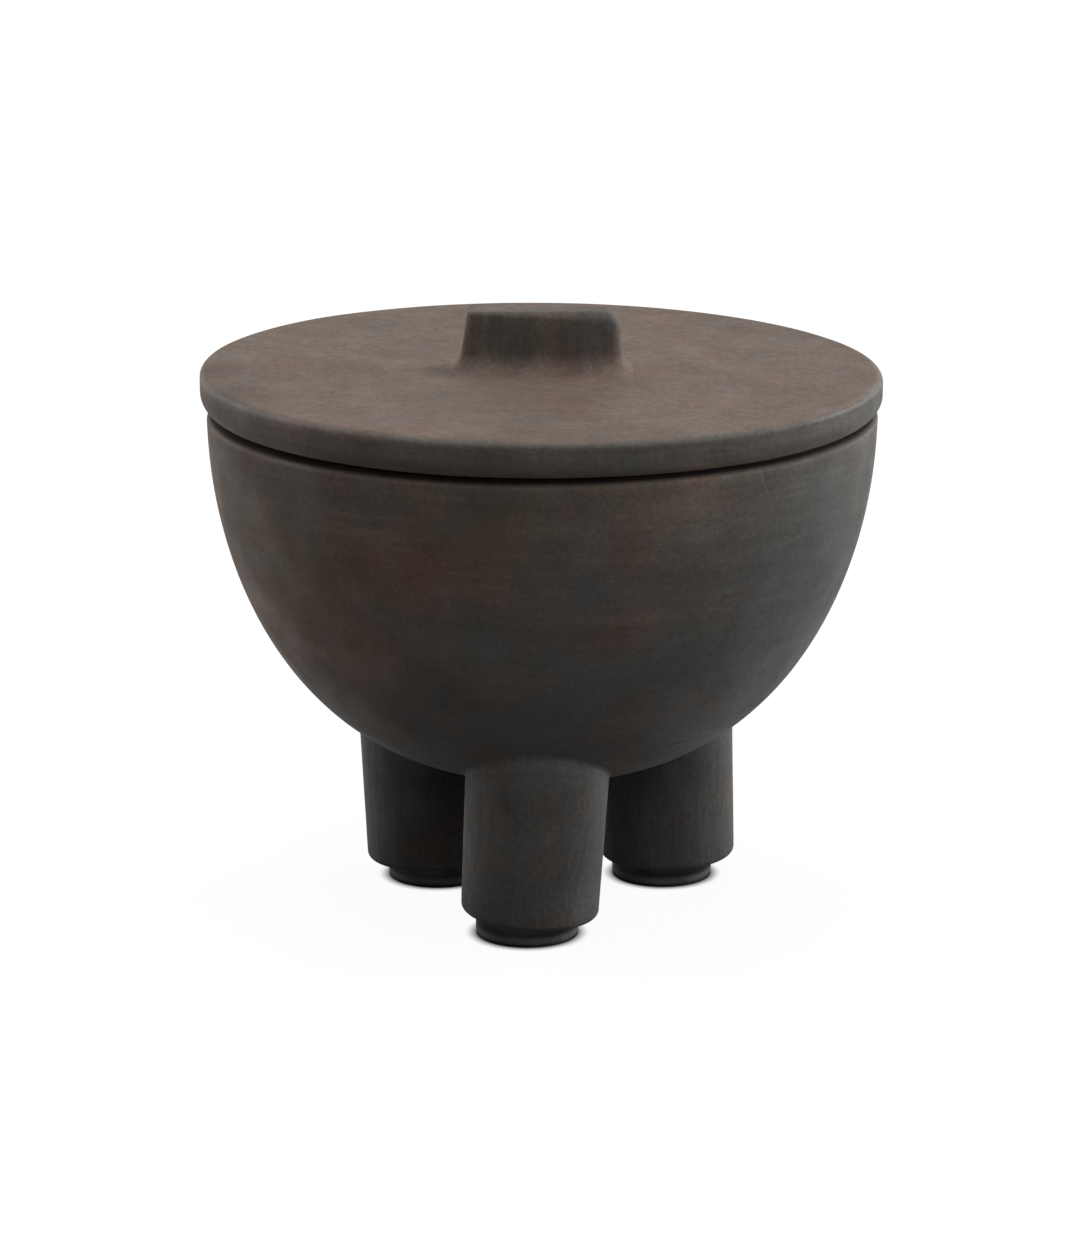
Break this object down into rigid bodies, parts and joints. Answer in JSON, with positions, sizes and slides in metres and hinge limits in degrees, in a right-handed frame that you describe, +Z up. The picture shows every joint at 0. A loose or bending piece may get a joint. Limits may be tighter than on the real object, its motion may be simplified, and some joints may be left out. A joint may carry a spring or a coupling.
{
  "type": "lidded ceramic jar",
  "caption": "Deep round bowl of matte dark stoneware on short round legs with rubber pads, closed by a flat round lid with a bar handle.",
  "frame": {"origin": "on the bowl's axis at floor level, under the centre of the round lid", "axes": "+Z up along the bowl's axis, +X along the lid's handle, -Y towards the front leg"},
  "size_m": [0.15, 0.15, 0.1341],
  "materials": {
    "stoneware": "matte, unglazed dark brown-black stoneware with a cloudy smoke-fired tone",
    "rubber_pad": "satin black moulded rubber"
  },
  "bodies": {
    "jar": {"bowl": "stoneware", "leg_front": "stoneware", "leg_rear_left": "stoneware", "leg_rear_right": "stoneware", "foot_pad_front": "rubber_pad", "foot_pad_rear_left": "rubber_pad", "foot_pad_rear_right": "rubber_pad"},
    "lid": {"lid_plate": "stoneware", "lid_locating_ring": "stoneware", "lid_handle": "stoneware"}
  },
  "joints": [
    {"name": "lid_lift", "type": "slide", "parent": "jar", "child": "lid", "axis": [0, 0, 1], "range_m": [0, 0.09]}
  ]
}
